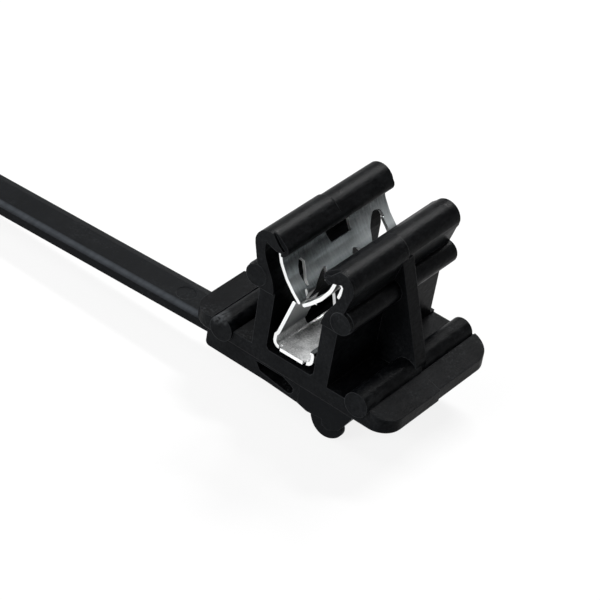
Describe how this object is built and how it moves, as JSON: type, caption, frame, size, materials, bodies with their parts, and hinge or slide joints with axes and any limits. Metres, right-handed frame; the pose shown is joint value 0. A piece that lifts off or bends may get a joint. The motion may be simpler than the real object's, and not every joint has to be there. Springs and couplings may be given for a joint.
{
  "type": "edge clip cable tie",
  "caption": "Nylon clip with a steel spring insert that grips a panel's edge and holds a cable tie in a guide under its plate, to fix a cable bundle along the panel.",
  "frame": {"origin": "The middle of the line where the panel's edge seats on the web of the insert, halfway between the jaws and halfway along them.", "axes": "+Z points out of the mouth of the jaws, the way the panel leaves; X runs along the tie, whose tail points to -X; Y runs along the jaws and the panel's edge, with the tie on the -Y half."},
  "size_m": [0.2046, 0.0188, 0.0207],
  "materials": {
    "clip_nylon": "black heat-stabilised nylon, satin as moulded",
    "spring_steel": "thin spring steel with a grey zinc-flake coating, bright cut edges",
    "tie_nylon": "black nylon, satin as moulded"
  },
  "bodies": {
    "root": {"clip_body": "clip_nylon", "spring_insert": "spring_steel", "cable_tie": "tie_nylon"}
  },
  "joints": []
}
